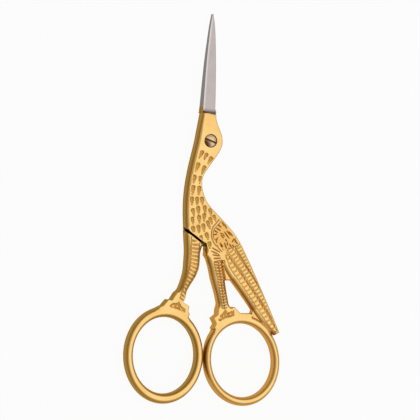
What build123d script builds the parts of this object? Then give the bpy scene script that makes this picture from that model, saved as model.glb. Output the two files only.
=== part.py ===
# Stork embroidery scissors: two forged halves and a slotted pivot screw.
# They lie on their back with the tips towards +Y and the front face up (+Z), and are closed.
# The origin is on the pivot's axis, in the plane that they rest on. All sizes are in millimetres.

from build123d import *
import math
import os

# Both halves
half_thickness = 2.0  # one half where the two lie over each other
inner_gap = 0.1  # between the halves' inner faces, outside the pivot's lands
nose_round = 1.2  # rounding along the breast, the legs and the tail's inner side
edge_break = 0.3  # small rounding along the nape and the rump
cut_overrun = 1.0  # how far a cutting solid runs past what it cuts

# Blades
blade_length = 28.7  # plating step to tip
blade_root_width = 3.85
blade_root_thickness = 1.65
blade_tip_thickness = 0.45
spine_bevel = 0.4
cutting_bevel = 0.3
blade_seat = 1.5  # how far a blade runs on into its head

# Head, neck and body
head_length = 8.5  # pivot to the plating step
neck_length = 30.3  # pivot to the crotch between the legs
breast_reach = 7.85  # pivot to the foremost point of the breast, sideways
step_slope = 0.45  # length of the slope from the plating down to the steel
seam_gap = 0.6  # between the front body and the back half, at the left leg and along the belly
thigh_height = 3.5  # how far the body reaches down over the right leg and the tail
web_recess = 0.8  # how far the webs lie below the faces

# Legs
leg_width = 4.75
left_hip_x = -4.8
right_hip_x = 1.0
right_hip_drop = 1.2  # right leg's start below the crotch

# Bows, the two finger rings
bow_inner_width = 19.0
bow_edge_round = 0.9
bow_gap = 0.2  # between the closed bows
bow_meeting_x = -1.87
left_bow_y = -62.5
left_bow_inner_height = 22.25
left_bow_side_band = 2.6
left_bow_end_band = 3.0
right_bow_y = -64.4
right_bow_inner_height = 21.75
right_bow_side_band = 2.3
right_bow_end_band = 2.6
right_bow_tilt = 12.0  # degrees, lower end outwards
pocket_depth = 0.4

# Tail
tail_reach = 21.6  # pivot to the tail's tip, sideways
tail_drop = 56.3  # pivot to the tail's tip, downwards
tail_width = 7.1
tail_outer_round = 0.5

# Pivot screw
screw_head_diameter = 4.2
screw_head_rim = 0.45
screw_crown = 0.5
screw_recess_depth = 0.65
screw_recess_clearance = 0.12
shank_diameter = 2.6
shank_clearance = 0.04
thread_diameter = 2.2
thread_clearance = 0.02
slot_width = 0.4
slot_depth = 0.4
slot_turn = -22.0
land_diameter = 6.0

# Worked out
full_thickness = 2 * half_thickness
front_inner_z = half_thickness + inner_gap / 2
back_inner_z = half_thickness - inner_gap / 2

# Blade edges: across as a share of the root's width, along as a share of the blade's length
blade_left_shares = [(-0.63, 0.0), (-0.42, 0.32), (-0.235, 0.56), (-0.03, 0.77), (0.10, 0.89), (0.27, 1.0)]
blade_right_shares = [(0.41, 0.0), (0.50, 0.32), (0.535, 0.56), (0.525, 0.77), (0.485, 0.89), (0.37, 1.0)]

# Outlines of the bird: across as a share of the breast's reach; above the pivot the second value is
# a share of the head's length, and below it of the neck's length.
breast_shares = [(-0.35, 1.0), (-0.435, 0.56), (-0.55, 0.0), (-0.70, -0.15), (-0.845, -0.305),
                 (-0.95, -0.46), (-1.0, -0.62), (-1.0, -0.75), (-0.985, -0.84)]
back_shares = [(0.25, 1.0), (0.29, 0.56), (0.375, 0.37), (0.45, 0.18), (0.478, 0.0), (0.45, -0.053),
               (0.335, -0.112), (0.125, -0.188), (-0.095, -0.265), (-0.28, -0.34), (-0.335, -0.42),
               (-0.28, -0.50), (-0.17, -0.575), (0.06, -0.653), (0.355, -0.73), (0.66, -0.81),
               (0.92, -0.885), (1.12, -0.96), (1.30, -1.04)]
belly_shares = [(0.0, -0.54), (-0.15, -0.62), (-0.19, -0.72), (-0.18, -0.86), (-0.16, -1.0)]

# Legs: along the leg, across from hip to ankle, and the width as a share of the leg's width
left_leg_shares = [(-0.36, 0.0, 1.25), (0.0, 0.0, 1.18), (0.17, 0.083, 1.01), (0.33, 0.12, 1.015),
                   (0.5, 0.19, 0.975), (0.67, 0.40, 0.86), (0.83, 0.69, 0.72), (1.0, 1.0, 0.71)]
right_leg_shares = [(0.0, 0.0, 1.06), (0.14, 0.10, 1.03), (0.345, 0.335, 0.95), (0.5, 0.48, 0.92),
                    (0.625, 0.61, 0.85), (0.905, 0.925, 0.77), (1.0, 1.0, 0.78)]
left_ankle_shares = (0.42, 1.25)
right_ankle_shares = (-0.485, 1.17)

# Collars, where a leg meets its bow: shares of the bow's outer half width and half height
left_collar_shares = [(0.32, 1.32), (0.175, 1.135), (0.09, 1.155), (-0.04, 1.03), (-0.205, 0.975),
                      (-0.03, 0.92), (0.55, 0.70), (0.63, 0.83), (0.59, 0.905), (0.617, 1.005),
                      (0.465, 1.09), (0.50, 1.155), (0.545, 1.25)]
right_collar_shares = [(-0.645, 1.20), (-0.66, 1.01), (-0.777, 0.935), (-0.705, 0.81), (-0.777, 0.70),
                       (-0.575, 0.68), (-0.05, 0.93), (0.22, 0.93), (0.24, 1.03), (-0.067, 1.035),
                       (-0.22, 1.175), (-0.295, 1.155), (-0.345, 1.19)]
left_pocket_shares = [(0.13, 1.02), (0.36, 1.12), (0.39, 1.04), (0.55, 0.92), (0.50, 0.86), (0.34, 0.95)]
right_pocket_shares = [(-0.64, 0.86), (-0.59, 0.79), (-0.44, 0.875), (-0.25, 0.91), (-0.25, 1.0),
                       (-0.39, 0.96), (-0.48, 1.03), (-0.53, 0.93)]

# Tail: along from the rump to the tip, and across inwards as a share of the tail's width
tail_outer_shares = [(-0.08, 0.02), (0.0, 0.0), (0.38, -0.03), (0.62, -0.03), (1.0, 0.0)]
tail_inner_shares = [(1.01, 0.22), (0.82, 0.54), (0.64, 0.69), (0.42, 0.86), (0.26, 1.0), (0.05, 1.1)]
tail_web_shares = [(0.56, 0.5), (0.62, 0.64), (0.67, 0.73), (0.78, 0.75), (0.92, 0.45)]
thigh_end_shares = (0.12, 0.5)


# A point of the bird's outline
def bird_point(across, along):
    length = head_length if along > 0 else neck_length
    return (across * breast_reach, along * length)


def bird_points(shares):
    return [bird_point(across, along) for across, along in shares]


# A bow's outer half sizes, and how far it reaches sideways and upwards when it is tilted
def bow_sizes(y, inner_height, side_band, end_band, tilt, side):
    half_width = bow_inner_width / 2 + side_band
    half_height = inner_height / 2 + end_band
    turn = math.radians(tilt)
    reach_x = math.hypot(half_width * math.cos(turn), half_height * math.sin(turn))
    reach_y = math.hypot(half_width * math.sin(turn), half_height * math.cos(turn))
    return {"x": bow_meeting_x + side * (bow_gap / 2 + reach_x), "y": y, "tilt": tilt,
            "half_width": half_width, "half_height": half_height, "inner_height": inner_height,
            "reach_x": reach_x, "reach_y": reach_y}


left_bow = bow_sizes(left_bow_y, left_bow_inner_height, left_bow_side_band, left_bow_end_band, 0, -1)
right_bow = bow_sizes(right_bow_y, right_bow_inner_height, right_bow_side_band, right_bow_end_band,
                      right_bow_tilt, 1)


# A point given as shares of how far a bow reaches from its centre
def bow_point(across, along, bow):
    return (bow["x"] + across * bow["reach_x"], bow["y"] + along * bow["reach_y"])


def bow_points(shares, bow):
    return [bow_point(across, along, bow) for across, along in shares]


# A closed face from curves and straight lines that run on from one another
def outline_face(*runs):
    edges = []
    for index, run in enumerate(runs):
        edges.append(Spline(*run) if len(run) > 2 else Line(*run))
        start = runs[(index + 1) % len(runs)][0]
        if math.dist(run[-1], start) > 0:
            edges.append(Line(run[-1], start))
    return make_face(edges)


def polygon_face(points):
    return make_face(Polyline(*points, close=True))


# A plate between two heights
def plate(face, low, high):
    return Pos(0, 0, low) * extrude(face, amount=high - low, dir=(0, 0, 1))


# Round the edge that lies nearest to a point, on a plate's upper (-1) or lower (0) level
def round_edge(solid, point, level, radius):
    edges = solid.edges().group_by(Axis.Z)[level]
    target = Vector(point[0], point[1], edges[0].center().Z)
    return fillet(edges.sort_by_distance(target)[0], radius)


# One blade on its inner face at z = 0, with its outer face up
def blade(left_bevel, right_bevel):
    def points(shares):
        return [(across * blade_root_width, head_length + along * blade_length) for across, along in shares]

    left, right = points(blade_left_shares), points(blade_right_shares)
    solid = extrude(outline_face(left, list(reversed(right))), amount=blade_root_thickness, dir=(0, 0, 1))
    profile = [(head_length, 0), (head_length + blade_length, 0),
               (head_length + blade_length, blade_tip_thickness), (head_length, blade_root_thickness)]
    side = make_face(Plane.YZ * Polyline(*profile, close=True))
    solid &= extrude(side, amount=blade_root_width, both=True)
    for place, bevel in ((0, left_bevel), (-1, right_bevel)):
        edges = solid.edges().filter_by(lambda edge: edge.length > blade_length / 2)
        edges = edges.filter_by(lambda edge: edge.center().Z > blade_tip_thickness).sort_by(Axis.X)
        solid = chamfer(edges[place], bevel)
    seat = polygon_face([left[0], right[0], (right[0][0], right[0][1] - blade_seat),
                         (left[0][0], left[0][1] - blade_seat)])
    return solid + extrude(seat, amount=blade_root_thickness, dir=(0, 0, 1))


# A leg's plan, from the hip to the ankle
def leg_face(hip, ankle, shares):
    left, right = [], []
    for along, across, width in shares:
        x = hip[0] + across * (ankle[0] - hip[0])
        y = hip[1] + along * (ankle[1] - hip[1])
        left.append((x - width * leg_width / 2, y))
        right.append((x + width * leg_width / 2, y))
    return outline_face(left, list(reversed(right)))


# A leg: a full-thickness bar whose two long sides are rounded in front and behind
def leg(hip, bow, ankle_shares, shares):
    solid = plate(leg_face(hip, bow_point(*ankle_shares, bow), shares), 0, full_thickness)
    levels = solid.edges().group_by(Axis.Z)
    long_edges = levels[0].sort_by(SortBy.LENGTH)[-2:] + levels[-1].sort_by(SortBy.LENGTH)[-2:]
    return fillet(long_edges, nose_round)


# A bow: an elliptical ring with rounded edges
def bow_ring(bow):
    inner = Ellipse(bow_inner_width / 2, bow["inner_height"] / 2)
    outer = Ellipse(bow["half_width"], bow["half_height"])
    ring = plate(outer - inner, 0, full_thickness)
    ring = fillet(ring.edges().filter_by(GeomType.ELLIPSE), bow_edge_round)
    return Pos(bow["x"], bow["y"]) * Rot(0, 0, bow["tilt"]) * ring


def collar(bow, shares):
    return plate(polygon_face(bow_points(shares, bow)), 0, full_thickness)


# A shallow pocket in a collar's two faces
def pocket(bow, shares):
    face = polygon_face(bow_points(shares, bow))
    deep = full_thickness - pocket_depth
    return plate(face, deep, full_thickness + cut_overrun) + plate(face, -cut_overrun, pocket_depth)


# A point of the tail, measured from the rump along its outer side
def tail_point(along, across):
    root_x, root_y = bird_point(*back_shares[-1])
    run_x, run_y = tail_reach - root_x, -tail_drop - root_y
    length = math.hypot(run_x, run_y)
    inward = across * tail_width
    return (root_x + along * run_x + inward * run_y / length,
            root_y + along * run_y - inward * run_x / length)


def tail():
    outer = [tail_point(*share) for share in tail_outer_shares]
    inner = [tail_point(*share) for share in tail_inner_shares]
    solid = plate(outline_face(outer, inner), 0, full_thickness)
    for level in (0, -1):
        solid = round_edge(solid, inner[2], level, nose_round)
        solid = round_edge(solid, outer[2], level, tail_outer_round)
    web = polygon_face([tail_point(*share) for share in tail_web_shares])
    return solid + plate(web, web_recess, full_thickness - web_recess)


# The recessed web between the right leg and the tail, above the three-cornered opening
def leg_web():
    top_y = -neck_length - thigh_height
    low_x, low_y = tail_point(*tail_inner_shares[4])
    face = polygon_face([(right_hip_x, top_y), (low_x, top_y), (low_x, low_y), (right_hip_x + leg_width / 2, low_y)])
    return plate(face, web_recess, full_thickness - web_recess)


# The bird's head, neck and body, down to the seam over the left leg and to the thigh
def bird_face():
    breast = bird_points(breast_shares)
    crotch = bird_point(*belly_shares[-1])
    thigh = (crotch[0], -neck_length - thigh_height)
    thigh_end = tail_point(*thigh_end_shares)
    back = bird_points(back_shares)
    return outline_face(breast, [breast[-1], crotch], [crotch, thigh], [thigh, thigh_end],
                        [thigh_end, back[-1]], list(reversed(back)))


# The side of the belly line where the back half lies, up to a gap from the line
def back_side(gap):
    belly = [(x - gap, y) for x, y in bird_points(belly_shares)]
    top = head_length + cut_overrun
    far = 2 * breast_reach
    return outline_face(belly, [belly[-1], (-far, belly[-1][1])], [(-far, belly[-1][1]), (-far, top)],
                        [(-far, top), (far, top)], [(far, top), (far, belly[0][1])],
                        [(far, belly[0][1]), belly[0]])


# The slope from a head's face, on a plate's upper (-1) or lower (0) level, down to its blade
def sloped_step(solid, level):
    face = solid.faces().sort_by(Axis.Z)[level]
    edge = face.edges().sort_by(Axis.Y)[-1]
    return chamfer(edge, step_slope, back_inner_z - blade_root_thickness, reference=face)


# The front half's head, neck and body: full thickness beside the back half, one layer over it
def front_body():
    solid = sloped_step(plate(bird_face(), 0, full_thickness), -1)
    solid = round_edge(solid, bird_point(*breast_shares[5]), -1, nose_round)
    for level in (0, -1):
        solid = round_edge(solid, bird_point(*back_shares[13]), level, edge_break)
    return solid - plate(back_side(0), -cut_overrun, front_inner_z)


# The back half's head, neck and breast, one layer thick
def back_body():
    solid = sloped_step(plate(bird_face(), 0, back_inner_z), 0)
    solid = round_edge(solid, bird_point(*breast_shares[5]), 0, nose_round)
    solid = round_edge(solid, bird_point(*back_shares[13]), 0, edge_break)
    return solid & plate(back_side(seam_gap), -cut_overrun, back_inner_z + cut_overrun)


# The left leg, cut off at the seam where the front half lies over the back one
def left_leg():
    solid = leg((left_hip_x, -neck_length), left_bow, left_ankle_shares, left_leg_shares)
    start = Vector(*bird_point(*breast_shares[-1]))
    end = Vector(*bird_point(*belly_shares[-1]))
    over = Box(2 * neck_length, neck_length, full_thickness, align=(Align.CENTER, Align.MIN, Align.MIN))
    return solid - Plane(start, x_dir=end - start, z_dir=(0, 0, 1)) * Pos(0, -seam_gap, back_inner_z) * over


def disc(diameter, low, high):
    return Pos(0, 0, low) * extrude(Circle(diameter / 2), amount=high - low)


def front_half():
    solid = front_body()
    solid += Pos(0, 0, front_inner_z) * blade(spine_bevel, cutting_bevel)
    solid += leg((right_hip_x, -neck_length - right_hip_drop), right_bow, right_ankle_shares, right_leg_shares)
    solid += tail()
    solid += leg_web()
    solid += bow_ring(right_bow)
    solid += collar(right_bow, right_collar_shares)
    solid += disc(land_diameter, half_thickness, front_inner_z + inner_gap)
    solid -= pocket(right_bow, right_pocket_shares)
    solid -= disc(shank_diameter + 2 * shank_clearance, 0, full_thickness + cut_overrun)
    recess = screw_head_diameter + 2 * screw_recess_clearance
    solid -= disc(recess, full_thickness - screw_recess_depth, full_thickness + cut_overrun)
    return solid


def back_half():
    solid = back_body()
    back_blade = mirror(blade(cutting_bevel, spine_bevel), about=Plane.XY)
    solid += Pos(0, 0, back_inner_z) * back_blade
    solid += left_leg()
    solid += bow_ring(left_bow)
    solid += collar(left_bow, left_collar_shares)
    solid += disc(land_diameter, back_inner_z - inner_gap, half_thickness)
    solid -= pocket(left_bow, left_pocket_shares)
    solid -= disc(thread_diameter + 2 * thread_clearance, -cut_overrun, full_thickness)
    return solid


# The screw: threaded end in the back half, shank in the front half's bore, domed slotted head
def pivot_screw():
    seat_z = full_thickness - screw_recess_depth
    radius = screw_head_diameter / 2
    rim_z = seat_z + screw_head_rim
    top_z = rim_z + screw_crown
    profile = [(0, 0), (thread_diameter / 2, 0), (thread_diameter / 2, half_thickness),
               (shank_diameter / 2, half_thickness), (shank_diameter / 2, seat_z), (radius, seat_z),
               (radius, rim_z)]
    crown_radius = (radius ** 2 + screw_crown ** 2) / (2 * screw_crown)
    lines = Polyline(*profile)
    arc = RadiusArc((radius, rim_z), (0, top_z), crown_radius)
    side = make_face(Plane.XZ * (lines + arc + Line((0, top_z), (0, 0))))
    solid = revolve(side, axis=Axis.Z)
    slot = Pos(0, 0, top_z - slot_depth) * Rot(0, 0, slot_turn) * Box(
        screw_head_diameter + cut_overrun, slot_width, 2 * slot_depth,
        align=(Align.CENTER, Align.CENTER, Align.MIN))
    return solid - slot


def main():
    os.makedirs("parts", exist_ok=True)
    pieces = {"front_half": front_half(), "back_half": back_half(), "pivot_screw": pivot_screw()}
    for name, solid in pieces.items():
        export_step(solid, f"parts/{name}.step")
        size = solid.bounding_box().size
        print(f"{name}: {size.X:.2f} x {size.Y:.2f} x {size.Z:.2f} mm, {solid.volume:.1f} mm3")


main()
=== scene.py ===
import math

import bmesh
import bpy
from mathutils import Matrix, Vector, geometry, kdtree
from mathutils.bvhtree import BVHTree


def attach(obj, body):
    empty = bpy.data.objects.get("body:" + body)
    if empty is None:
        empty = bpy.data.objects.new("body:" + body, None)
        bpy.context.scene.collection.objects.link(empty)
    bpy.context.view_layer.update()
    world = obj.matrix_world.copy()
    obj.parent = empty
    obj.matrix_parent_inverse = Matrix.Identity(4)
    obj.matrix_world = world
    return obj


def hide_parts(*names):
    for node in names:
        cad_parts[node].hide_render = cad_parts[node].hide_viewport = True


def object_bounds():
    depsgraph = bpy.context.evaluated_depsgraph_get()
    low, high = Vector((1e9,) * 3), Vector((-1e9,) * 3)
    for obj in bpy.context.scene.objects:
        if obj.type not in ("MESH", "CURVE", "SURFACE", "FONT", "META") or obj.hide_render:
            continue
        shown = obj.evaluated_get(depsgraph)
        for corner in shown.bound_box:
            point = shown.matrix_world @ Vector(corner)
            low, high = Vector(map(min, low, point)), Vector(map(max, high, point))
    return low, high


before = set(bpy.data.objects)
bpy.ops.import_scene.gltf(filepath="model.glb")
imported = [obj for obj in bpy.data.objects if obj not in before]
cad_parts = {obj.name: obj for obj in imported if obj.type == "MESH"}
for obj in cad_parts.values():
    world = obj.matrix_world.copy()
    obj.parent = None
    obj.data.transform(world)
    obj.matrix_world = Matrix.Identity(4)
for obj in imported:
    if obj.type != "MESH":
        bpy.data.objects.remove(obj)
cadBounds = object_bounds()
print("frame loaded")

# Stork embroidery scissors: two gold-plated, die-struck halves with bare steel blades, and their screw.
# Sizes in the dictionaries are in millimetres; mm turns them into Blender's metres. Side 1 is the front
# of the scissors and -1 the back.
mm = 0.001
thickness = 4.0
halves = {
    "front": {"node": "front_half", "other": "back_half", "parting": 2.05, "steps": (3.7, 3.4)},
    "back": {"node": "back_half", "other": "front_half", "parting": 1.95, "steps": (0.3,)},
}
cutLevels = {1: 2.4, -1: 1.6}   # where the halves' outlines are read, by side
outline = {
    "pointStep": 0.16,       # between points along an outline
    "cornerAngle": 25.0,     # a sharper turn than this, in degrees, stays a corner
    "straightAngle": 0.15,   # a smaller turn is a straight run
    "sameSpot": 0.01,
    "weld": 0.001,           # points of a cut that are this close are one
    "probeFrom": 10.0,       # the gauge looks at a face from this far outside it
    "probeInset": 0.1,       # where the solid's own edge rounding is read
    "noseFrom": 0.6,         # a rounding at least this wide is a full half-round side
    "smallestRound": 0.12,
    "widestRound": 1.2,
    "fuller": 1.2,           # the half-round sides are worn rounder than the solid has them
    "land": 0.1,             # straight band at the parting plane
    "blend": 5,              # neighbouring points over which one edge shape turns into the next
}
plate = {
    "faceGrid": 0.36,
    "ringTurn": 11.25,       # degrees between the rings of points round a nose
    "smallRings": 3,         # rings in a small rounding
    "ringShare": 0.97,       # a ring's point is left out if an edge is nearer than this share of its inset
    "ringClear": 0.6,        # the share of its inset that it keeps clear of other points
    "stepInset": 0.035,      # half the width of a pocket's steep wall
    "lipClear": 0.02,
    "lipsFrom": 0.33,        # a wall nearer to an edge than this is left to the edge's rounding
    "clear": 0.11,           # grid points stay this far from the struck marks' own points
    "markClear": 0.045,
    "closest": 1e-6,
    "sharpAngle": 62.0,
    "fadeFrom": 0.12, "fadeOver": 0.5,             # the marks run out towards an edge
    "darkest": 0.33,         # a mark this deep is fully dark with painted shade
    "collarsBelow": -46.0, "collarsLeftOf": 8.5,   # the pockets here are struck with the dies
    "pocketDeep": 0.55,      # a recess deeper than this isn't a struck pocket but a plain lower face
    "webTop": -34.6, "webRamp": 3.2,               # the web between leg and tail runs out upwards
    "paintedLightBelow": -30.6, "paintedLightOver": 2.0,       # painted light: the front half's lower sides are coloured lighter
}
# Painted shade in the seam: a near-black colour on the faces and edges where the other half stands close
# beside, as shade in the narrow gap
seamShade = {
    "near": 0.56, "far": 0.7,                      # gaps to the other half with full painted shade, and with none
    "wide": 1.4, "wideLeftOf": -1.2,               # it reaches further below the neck
    "to": 0.06,              # how far it comes up over an edge
    "inset": 0.3,            # where it ends on the flat face
    "bowsBelow": -40.0, "onBows": 0.1,
    "seam": ((-8.2, -25.1), (-1.0, -30.5)), "seamPoints": 15,   # middle line of the gap below the neck
    "rows": ((-0.8, 0.0), (-0.42, 1.0), (0.42, 1.0), (0.8, 0.0)),   # distance from that line, and share of painted shade
}
# A narrow slot between the tail and the right bow, closed and slightly sunk here, as in the photo
slot = {"at": (13.28, -51.3), "reach": 0.8, "mouth": -50.62, "depth": 0.6}
stepLine = {"at": 8.0, "slant": 0.23}    # the plating's end on the face: y + slant * x reaches at
rootLine = {"at": 8.39, "slant": 0.084}  # the ground blade's root, likewise
shoulder = {"from": 6.6, "to": (-2.5, 8.5), "slope": 0.31}   # the left side runs in to the blade
# The screw's recess is tighter than the solid's, and its wall leans from the floor's edge to the face's
recessFit = {"inner": 1.6, "outer": 2.6, "share": 0.865, "lips": (0.98, 1.04, 1.075)}


def linear(hexColour):
    parts = [int(hexColour[i:i + 2], 16) / 255 for i in (1, 3, 5)]
    return (*[c / 12.92 if c <= 0.04045 else ((c + 0.055) / 1.055) ** 2.4 for c in parts], 1.0)


# Sets or links a node's inputs; a node among the values gives its first output
def setInputs(tree, node, inputs):
    for socket, value in inputs.items():
        if isinstance(value, bpy.types.Node):
            value = value.outputs[0]
        if isinstance(value, bpy.types.NodeSocket):
            tree.links.new(value, node.inputs[socket])
        else:
            node.inputs[socket].default_value = value


# One node with its settings and links
def addNode(tree, kind, inputs=None, **settings):
    made = tree.nodes.new(kind)
    for name, value in settings.items():
        setattr(made, name, value)
    setInputs(tree, made, inputs or {})
    return made


def addObject(name, mesh):
    made = bpy.data.objects.new(name, mesh)
    bpy.context.scene.collection.objects.link(made)
    return made


def unit(value):
    return min(1.0, max(0.0, value))


def quads(low, high):
    return [(low[i - 1], low[i], high[i], high[i - 1]) for i in range(1, len(low))]


# The plain mesh of a closed form, with its normals outward
def plainMesh(name, form):
    bmesh.ops.recalc_face_normals(form, faces=form.faces)
    opened = sum(1 for e in form.edges if len(e.link_faces) != 2)
    made = bpy.data.meshes.new(name)
    form.to_mesh(made)
    form.free()
    print(f"{name}: {len(made.vertices)} points, {len(made.polygons)} faces, {opened} open edges")
    return made


# A closed form through rings of points
def ringMesh(name, form, rings):
    for low, high in zip(rings, rings[1:]):
        for corners in quads(low + low[:1], high + high[:1]):
            form.faces.new(corners)
    form.faces.new(rings[0])
    form.faces.new(rings[-1])
    return plainMesh(name, form)


# The outlines that a level cut through a CAD node has, as lists of plan points
def cutOutlines(nodeName, level):
    cut = bmesh.new()
    cut.from_mesh(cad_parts[nodeName].data)
    bmesh.ops.remove_doubles(cut, verts=cut.verts, dist=outline["weld"] * mm)
    bmesh.ops.bisect_plane(cut, geom=cut.verts[:] + cut.edges[:] + cut.faces[:], clear_inner=True,
                           plane_co=(0, 0, level * mm), plane_no=(0, 0, 1), clear_outer=True)
    loops, seen = [], set()
    for start in cut.verts:
        if start.index in seen or len(start.link_edges) != 2:
            continue
        loop, here, edge = [], start, start.link_edges[0]
        while here.index not in seen:
            seen.add(here.index)
            loop.append(Vector((here.co.x, here.co.y)) / mm)
            here = edge.other_vert(here)
            edge = [e for e in here.link_edges if e != edge][0]
        loops.append(loop)
    cut.free()
    return loops


def turnAt(points, i):
    before = points[i] - points[i - 1]
    after = points[(i + 1) % len(points)] - points[i]
    return abs(before.angle_signed(after, 0.0))


# The direction square to an outline at one of its points
def acrossAt(points, i):
    along = (points[(i + 1) % len(points)] - points[i - 1]).normalized()
    return Vector((-along.y, along.x))


# Only the points where an outline really turns
def cleanOutline(points):
    kept = [p for i, p in enumerate(points) if (p - points[i - 1]).length > outline["sameSpot"]]
    straight = math.radians(outline["straightAngle"])
    return [p for i, p in enumerate(kept) if turnAt(kept, i) > straight]


# What is left of an outline below a slanted line
def clipOutline(points, line):
    kept = []
    for i, here in enumerate(points):
        before = points[i - 1]
        over = here.y + line["slant"] * here.x - line["at"]
        overBefore = before.y + line["slant"] * before.x - line["at"]
        if (over <= 0) != (overBefore <= 0):
            kept.append(before.lerp(here, overBefore / (overBefore - over)))
        if over <= 0:
            kept.append(here)
    return kept


# Points spaced evenly on a smooth curve through the given ones
def smoothRun(points, closed):
    count = len(points)

    def tangent(i):
        low, high = (i - 1, (i + 1) % count) if closed else (max(i - 1, 0), min(i + 1, count - 1))
        length = (points[i] - points[low]).length + (points[high] - points[i]).length
        return (points[high] - points[low]) / length

    run = []
    for i in range(count if closed else count - 1):
        start, end = points[i], points[(i + 1) % count]
        length = (end - start).length
        reach = length / 3
        steps = max(1, round(length / outline["pointStep"]))
        handles = (start.to_3d(), (start + tangent(i) * reach).to_3d(),
                   (end - tangent((i + 1) % count) * reach).to_3d(), end.to_3d())
        run += [p.to_2d() for p in geometry.interpolate_bezier(*handles, steps + 1)[:-1]]
    return run if closed else run + [points[-1]]


# The same for a whole outline, which keeps its corners
def smoothOutline(points):
    corner = math.radians(outline["cornerAngle"])
    corners = [i for i in range(len(points)) if turnAt(points, i) > corner]
    if not corners:
        return smoothRun(points, True)
    smooth = []
    for start, end in zip(corners, corners[1:] + [corners[0] + len(points)]):
        smooth += smoothRun([points[i % len(points)] for i in range(start, end + 1)], False)[:-1]
    return smooth


# A point of the left side, moved onto the line that runs in to the blade
def runIn(p):
    x, y = shoulder["to"]
    if p.y < shoulder["from"] or p.x > 0:
        return p
    return Vector((max(p.x, x + (p.y - y) * shoulder["slope"]), p.y))


# Where a place round the screw lies on the solid, whose recess is wider
def onSolid(x, y):
    inside = recessFit["inner"] < math.hypot(x, y) < recessFit["outer"]
    return (x / recessFit["share"], y / recessFit["share"]) if inside else (x, y)


def inSlot(x, y):
    return (Vector((x, y)) - Vector(slot["at"])).length < slot["reach"] and y < slot["mouth"]


# Reads how deep a CAD node's surface lies below a half's outer face
class Gauge:
    def __init__(self, nodeName, side):
        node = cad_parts[nodeName]
        points = [v.co.copy() for v in node.data.vertices]
        self.tree = BVHTree.FromPolygons(points, [p.vertices[:] for p in node.data.polygons])
        self.side = side
        self.face = thickness if side > 0 else 0.0

    def depth(self, x, y):
        atX, atY = onSolid(x, y) if self.side > 0 else (x, y)
        start = Vector((atX * mm, atY * mm, (self.face + outline["probeFrom"] * self.side) * mm))
        hit = self.tree.ray_cast(start, Vector((0, 0, -self.side)))[0]
        if hit is None:
            return slot["depth"] if inSlot(x, y) else None
        return abs(self.face - hit.z / mm)


# Samples of an outline: place, direction into the solid, and the width and height of the rounding
def edgeSamples(points, gauge, deepest):
    samples = [{"at": p, "in": acrossAt(points, i)} for i, p in enumerate(points)]
    inset = outline["probeInset"]

    def solidAt(p):
        depth = gauge.depth(p.x, p.y)
        return depth is not None and depth < deepest

    votes = sum(1 if solidAt(s["at"] + s["in"] * inset) else -1 for s in samples)
    for s in samples:
        if votes < 0:
            s["in"] = -s["in"]
        s["at"] = s["at"] + s["in"] * outline["sameSpot"]   # keeps the smoothed outline inside the solid's
        probe = s["at"] + s["in"] * inset
        fall = gauge.depth(probe.x, probe.y)
        inBore = s["at"].length < recessFit["inner"]   # sharp, under the screw's head
        fall = 0.0 if fall is None or fall > deepest or inBore else fall
        radius = min(fall + inset + math.sqrt(2 * fall * inset), outline["widestRound"])
        nose = radius > outline["noseFrom"]
        s["wide"] = radius * outline["fuller"] if nose else max(radius, outline["smallestRound"])
        s["high"] = deepest - outline["land"] if nose else s["wide"]
    reach = range(-outline["blend"], outline["blend"] + 1)
    for name in ("wide", "high"):
        smooth = [sum(samples[(i + k) % len(samples)][name] for k in reach) / len(reach)
                  for i in range(len(samples))]
        for s, value in zip(samples, smooth):
            s[name] = value
    return samples


# How far the rounding drops below the face, at a distance from the edge
def roundingDrop(sample, distance):
    if distance >= sample["wide"]:
        return 0.0
    return sample["high"] * (1 - math.sqrt(1 - (1 - distance / sample["wide"]) ** 2))


# A set of plan points that keeps its points a given distance apart
class SpacedPoints:
    def __init__(self, cell):
        self.cell = cell
        self.boxes = {}

    def key(self, p):
        return (math.floor(p.x / self.cell), math.floor(p.y / self.cell))

    def near(self, p, gap):
        i, j = self.key(p)
        around = [(i + di, j + dj) for di in (-1, 0, 1) for dj in (-1, 0, 1)]
        return any((other - p).length < gap for box in around for other in self.boxes.get(box, ()))

    def add(self, p):
        self.boxes.setdefault(self.key(p), []).append(p)


def pointTree(points):
    tree = kdtree.KDTree(len(points))
    for i, p in enumerate(points):
        tree.insert(p.to_3d(), i)
    tree.balance()
    return tree


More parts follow.
